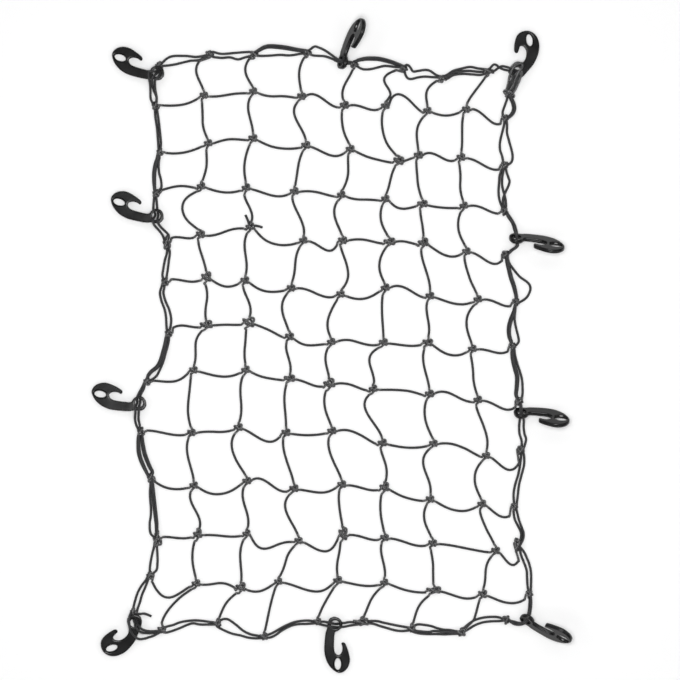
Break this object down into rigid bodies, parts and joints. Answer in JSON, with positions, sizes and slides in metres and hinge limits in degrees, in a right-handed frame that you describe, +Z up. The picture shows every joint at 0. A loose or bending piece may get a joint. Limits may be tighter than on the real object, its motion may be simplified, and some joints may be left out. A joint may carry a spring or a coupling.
{
  "type": "elastic cargo net with hooks",
  "caption": "Knotted elastic cord cargo net laid out flat, loosely meshed, with a doubled edge cord and moulded open hooks strung round it by their eyes.",
  "frame": {"origin": "middle of the laid-out net and its hooks, on the floor it lies on", "axes": "+Y along the length of the net, +X across it, +Z up from the floor"},
  "size_m": [0.767, 1.0442, 0.0465],
  "materials": {
    "elastic_cord": "braided polyester cover, dull with a soft sheen",
    "hook_plastic": "moulded nylon, satin"
  },
  "bodies": {
    "root": {"net": "elastic_cord", "hook_far_left": "hook_plastic", "hook_far_middle": "hook_plastic", "hook_far_right": "hook_plastic", "hook_right_upper": "hook_plastic", "hook_right_lower": "hook_plastic", "hook_near_right": "hook_plastic", "hook_near_middle": "hook_plastic", "hook_near_left": "hook_plastic", "hook_left_lower": "hook_plastic", "hook_left_upper": "hook_plastic"}
  },
  "joints": []
}
